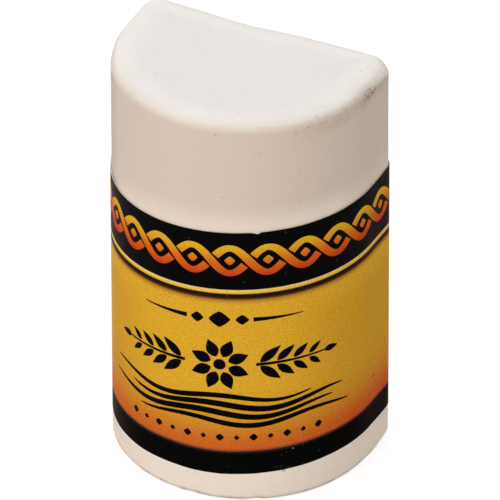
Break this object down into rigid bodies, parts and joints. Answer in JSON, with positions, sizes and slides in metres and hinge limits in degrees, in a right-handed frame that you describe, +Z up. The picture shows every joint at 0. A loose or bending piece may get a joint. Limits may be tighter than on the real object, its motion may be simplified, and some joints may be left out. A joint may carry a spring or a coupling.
{
  "type": "furniture repair wax stick",
  "caption": "Upright cast wax block with a half-round nose, flat back and soft top rim, wrapped by a printed band label, for rubbing into scratches and nail holes in furniture.",
  "frame": {"origin": "middle of the base, on the surface the stick stands on", "axes": "+Z up along the stick, -Y out of the round nose, +Y out of the flat back, +X to the right seen from the nose"},
  "size_m": [0.0322, 0.0232, 0.053],
  "materials": {
    "wax": "satin",
    "adhesive": "satin",
    "label_film": "satin",
    "black_ink": "satin",
    "gold_ink": "satin",
    "brown_ink": "satin",
    "yellow_ink": "satin"
  },
  "bodies": {
    "root": {"wax_stick": "wax", "label_adhesive": "adhesive", "label_film": "label_film", "header_band": "black_ink", "gold_rule": "gold_ink", "brown_rule": "brown_ink", "yellow_panel": "yellow_ink", "footer_band": "black_ink"}
  },
  "joints": []
}
